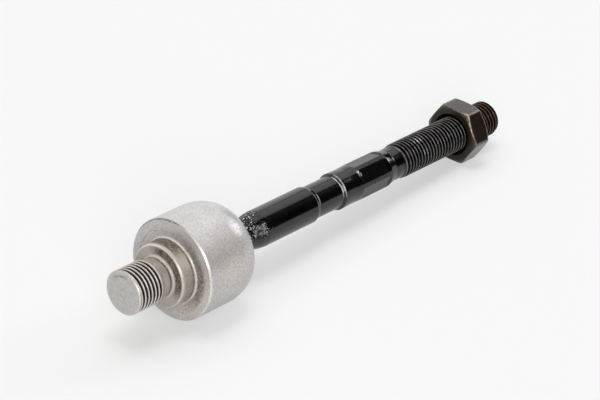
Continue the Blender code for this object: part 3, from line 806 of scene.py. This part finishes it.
def rod_material():
    s = Shader("black_coating_look")
    broad = s.noise(5.0, 3.0)
    fine = s.noise(0.5, 3.0, 0.6)
    scaly = s.mask("scaly")
    groove = s.mask("groove")
    colour = s.mix(s.span(broad, 0.3, 0.7), (0.001, 0.001, 0.0012), (0.0025, 0.0022, 0.0025))
    worn = s.span(s.noise(1.6, 3.0), 0.35, 0.7, 0.3, 1.0)
    crest = s.maths("MULTIPLY", s.span(s.mask("crest"), 0.76, 1.0), worn)
    colour = s.mix(s.maths("MULTIPLY", crest, 0.9), colour, (0.21, 0.20, 0.19))
    tip = s.mask("tip")
    worn_tip = s.mix(s.span(s.mask("crest"), 0.72, 1.0), (0.005, 0.0025, 0.0015), (0.09, 0.052, 0.028))
    colour = s.mix(tip, colour, worn_tip)
    # Painted highlights along the steps' edges, in light grey
    edge = s.maths("MULTIPLY", s.mask("edge"), s.span(s.noise(1.2, 2.0), 0.3, 0.6, 0.4, 1.0))
    colour = s.mix(edge, colour, (0.72, 0.71, 0.72))
    flecks = s.maths("MULTIPLY", scaly, s.span(s.noise(0.5, 2.0, 0.6), 0.595, 0.64))
    colour = s.mix(flecks, colour, (0.85, 0.85, 0.86))
    crinkle = s.maths("MULTIPLY", s.mask("bright"), s.span(s.noise(1.0, 4.0, 0.7), 0.42, 0.62, 0.1, 1.0))
    colour = s.mix(crinkle, colour, (0.27, 0.262, 0.248))
    # Knocked-through coating on the thread, and painted glints at the flats' ends, in silvery grey
    scuff_and_glint = s.maths("MULTIPLY", s.mask("scuff_and_glint"), s.span(s.noise(0.7, 3.0, 0.7), 0.42, 0.55))
    scuff_and_glint = s.maths("MULTIPLY", scuff_and_glint, s.span(groove, 0.05, 0.3, 1.0, 0.0))
    colour = s.mix(scuff_and_glint, colour, (0.75, 0.73, 0.76))
    specks = s.span(s.noise(0.7, 1.0), 0.80, 0.84, 0.0, 0.5)
    colour = s.mix(specks, colour, (0.5, 0.5, 0.5))
    rough = s.span(fine, 0.3, 0.7, 0.11, 0.19)
    for name, more in (("scaly", 0.15), ("crest", 0.15), ("ribbed", 0.12), ("bright", 0.2)):
        rough = s.maths("MULTIPLY_ADD", s.mask(name), more, rough)
    shine = s.span(groove, 0.1, 0.45, 0.5, 0.04)
    shine = s.mix_number(s.maths("MULTIPLY", scaly, 0.7), shine, 0.1)
    shine = s.mix_number(s.maths("MULTIPLY", tip, 0.5), shine, 0.05)
    # The coating follows the drawn steel's grain, which runs along the rod
    along = s.stretched("station", 14.0)
    normal = s.bump(s.noise(0.7, 3.0, 0.6, along), 0.012, 0.5)
    waves = s.maths("SINE", s.maths("MULTIPLY", s.mask("station"), 9.0))
    normal = s.bump(s.maths("MULTIPLY", s.mask("ribbed"), waves), 0.09, 1.0, normal)
    normal = s.bump(s.maths("MULTIPLY", fine, s.span(scaly, 0.0, 1.0, 0.05, 1.0)), 0.06, 0.6, normal)
    return s.finish(Base_Color=colour, Roughness=rough, Normal=normal, Specular_IOR_Level=shine)


def nut_material():
    s = Shader("oiled_dark_steel_look")
    broad = s.noise(4.0, 3.0)
    fine = s.noise(0.6, 3.0, 0.6)
    colour = s.mix(s.span(broad, 0.3, 0.7), (0.010, 0.005, 0.003), (0.021, 0.011, 0.007))
    colour = s.mix(s.maths("MULTIPLY", s.mask("face"), 0.9), colour, (0.026, 0.017, 0.011))
    # Painted highlights along the rims and corners, in pale brown
    edge = s.maths("MULTIPLY", s.mask("edge"), s.span(s.noise(1.0, 3.0), 0.35, 0.6, 0.5, 1.0))
    colour = s.mix(edge, colour, (0.72, 0.62, 0.50))
    sink = s.mask("sink")
    # Painted shade in the countersink, darker than the rest of the nut
    colour = s.mix(sink, colour, (0.008, 0.005, 0.003))
    rough = s.span(fine, 0.3, 0.7, 0.17, 0.25)
    shine = s.span(s.mask("face"), 0.2, 0.8, 1.1, 0.25)
    shine = s.mix_number(s.span(sink, 0.2, 0.8), shine, 0.08)
    lines = s.rings("spoke", 0.25)
    normal = s.bump(lines, 0.008, 0.4)
    normal = s.bump(fine, 0.02, 0.4, normal)
    return s.finish(Base_Color=colour, Roughness=rough, Normal=normal, Specular_IOR_Level=shine)


def seat_material():
    s = Shader("seat_plastic_look")
    grain = s.noise(0.6, 3.0)
    colour = s.mix(s.span(s.noise(5.0, 2.0), 0.3, 0.7), (0.74, 0.72, 0.65), (0.80, 0.78, 0.72))
    normal = s.bump(grain, 0.02, 0.4)
    return s.finish(Base_Color=colour, Roughness=s.span(grain, 0.3, 0.7, 0.35, 0.5), Normal=normal)


def spring_material():
    s = Shader("spring_steel_look")
    grain = s.noise(0.8, 3.0)
    colour = s.mix(s.span(grain, 0.3, 0.7), (0.22, 0.22, 0.23), (0.32, 0.32, 0.34))
    normal = s.bump(grain, 0.02, 0.4)
    rough = s.span(grain, 0.3, 0.7, 0.28, 0.42)
    return s.finish(Base_Color=colour, Metallic=0.9, Roughness=rough, Normal=normal)


def dress_node(frame, node, material):
    """Gives a CAD node that stays visible its material."""
    slots = frame["nodes"][node].data.materials
    for index in range(len(slots)):
        slots[index] = material


# Studio


def add_softbox(name, place, target, size, radiance, colour=(1, 1, 1)):
    """A rectangular lamp of this size in metres, as bright as its radiance, turned to its target."""
    light = bpy.data.lights.new(name, "AREA")
    light.shape = "RECTANGLE"
    light.size, light.size_y = size
    light.energy = radiance * math.pi * size[0] * size[1]
    light.color = colour
    obj = bpy.data.objects.new(name, light)
    bpy.context.scene.collection.objects.link(obj)
    obj.location = place
    obj.visible_camera = False
    obj.rotation_euler = (Vector(target) - obj.location).to_track_quat("-Z", "Y").to_euler()


def paper(name, shade, glow):
    """White paper. Part of its white glows for the camera and in reflections, and lights nothing."""
    s = Shader(name)
    ray = s.node("ShaderNodeLightPath")
    seen = s.maths("MAXIMUM", ray.outputs["Is Camera Ray"], ray.outputs["Is Glossy Ray"])
    seen = s.maths("MAXIMUM", seen, ray.outputs["Is Transmission Ray"])
    s.surface.inputs["Emission Color"].default_value = (1.0, 1.0, 0.995, 1)
    s.surface.inputs["Specular IOR Level"].default_value = 0.1
    strength = s.maths("MULTIPLY", seen, glow)
    return s.finish(Base_Color=(shade, shade, shade, 1), Roughness=0.9, Emission_Strength=strength)


def add_sheet(name, corners, material):
    mesh = bpy.data.meshes.new(name)
    mesh.from_pydata(corners, [], [(0, 1, 2, 3)])
    mesh.materials.append(material)
    sheet = bpy.data.objects.new(name, mesh)
    bpy.context.scene.collection.objects.link(sheet)


def add_paper():
    half, back, top = 4.0, 1.7, 1.5
    # Just under the part, so that the two don't share a plane
    low = -0.00006
    floor = [(-half, -half, low), (half, -half, low), (half, back, low), (-half, back, low)]
    add_sheet("studio_floor", floor, paper("floor_paper", FLOOR_SHADE, FLOOR_GLOW))
    wall = [(-half, back, low), (half, back, low), (half, back, top), (-half, back, top)]
    add_sheet("studio_wall", wall, paper("wall_paper", WALL_SHADE, WALL_GLOW))


def add_studio():
    add_paper()
    part = (0.0, 0.0, 0.01)
    lilac = (0.94, 0.92, 1.0)
    add_softbox("softbox_above", (1.1, 0.65, 1.55), (1.1, 0.65, 0.0), (4.0, 1.75), 1.25)
    add_softbox("softbox_left", (-1.1, -1.05, 0.8), part, (0.9, 0.9), 6.0)
    add_softbox("softbox_top", (0.0, 0.05, 1.4), (0.0, 0.0, 0.0), (0.5, 0.5), 5.6)
    add_softbox("softbox_right", (1.50, -0.30, 0.74), part, (0.42, 0.42), 9.0, lilac)
    world = bpy.data.worlds.new("studio")
    world.use_nodes = True
    tree = world.node_tree
    background = tree.nodes["Background"]
    background.inputs["Color"].default_value = (1.0, 1.0, 1.0, 1)
    # The room behind the camera is dark in reflections, and the camera itself sees paper everywhere
    ray = tree.nodes.new("ShaderNodeLightPath")
    reflected = tree.nodes.new("ShaderNodeMapRange")
    reflected.inputs["To Min"].default_value = ROOM_LIGHT
    reflected.inputs["To Max"].default_value = ROOM_REFLECTED
    tree.links.new(ray.outputs["Is Glossy Ray"], reflected.inputs["Value"])
    seen = tree.nodes.new("ShaderNodeMapRange")
    seen.inputs["To Max"].default_value = ROOM_SEEN
    tree.links.new(reflected.outputs["Result"], seen.inputs["To Min"])
    tree.links.new(ray.outputs["Is Camera Ray"], seen.inputs["Value"])
    tree.links.new(seen.outputs["Result"], background.inputs["Strength"])
    bpy.context.scene.world = world


def add_camera():
    data = bpy.data.cameras.new("photo_camera")
    data.sensor_fit = "HORIZONTAL"
    data.sensor_width = 36.0
    data.lens = CAMERA_LENS
    data.clip_end = 20
    camera = bpy.data.objects.new("photo_camera", data)
    bpy.context.scene.collection.objects.link(camera)
    back = -Vector(CAMERA_FORWARD).normalized()
    right = Vector(CAMERA_UP).cross(back).normalized()
    turn = Matrix((right, back.cross(right), back)).transposed()
    camera.matrix_world = Matrix.Translation(CAMERA_PLACE) @ turn.to_4x4()
    bpy.context.scene.camera = camera


def joint_axis(frame, name):
    """(a point on the joint's axis, unit vector along it, unit vector square to it towards the floor)."""
    joint = next(j for j in frame["joints"] if j["name"] == name)
    along = np.array(joint["axis"], float)
    along /= np.linalg.norm(along)
    down = np.array((0.0, 0.0, -1.0))
    down -= along * (down @ along)
    down /= np.linalg.norm(down)
    return np.array(joint["pos_m"], float), along, down


def main():
    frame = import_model()
    axis = joint_axis(frame, "socket_spin")
    make_housing(axis, housing_material())
    make_rod(axis, rod_material())
    make_nut(axis, nut_material())
    dress_node(frame, "ball_seat", seat_material())
    dress_node(frame, "preload_spring", spring_material())
    add_studio()
    add_camera()
    bpy.context.scene.view_settings.view_transform = "Standard"


main()
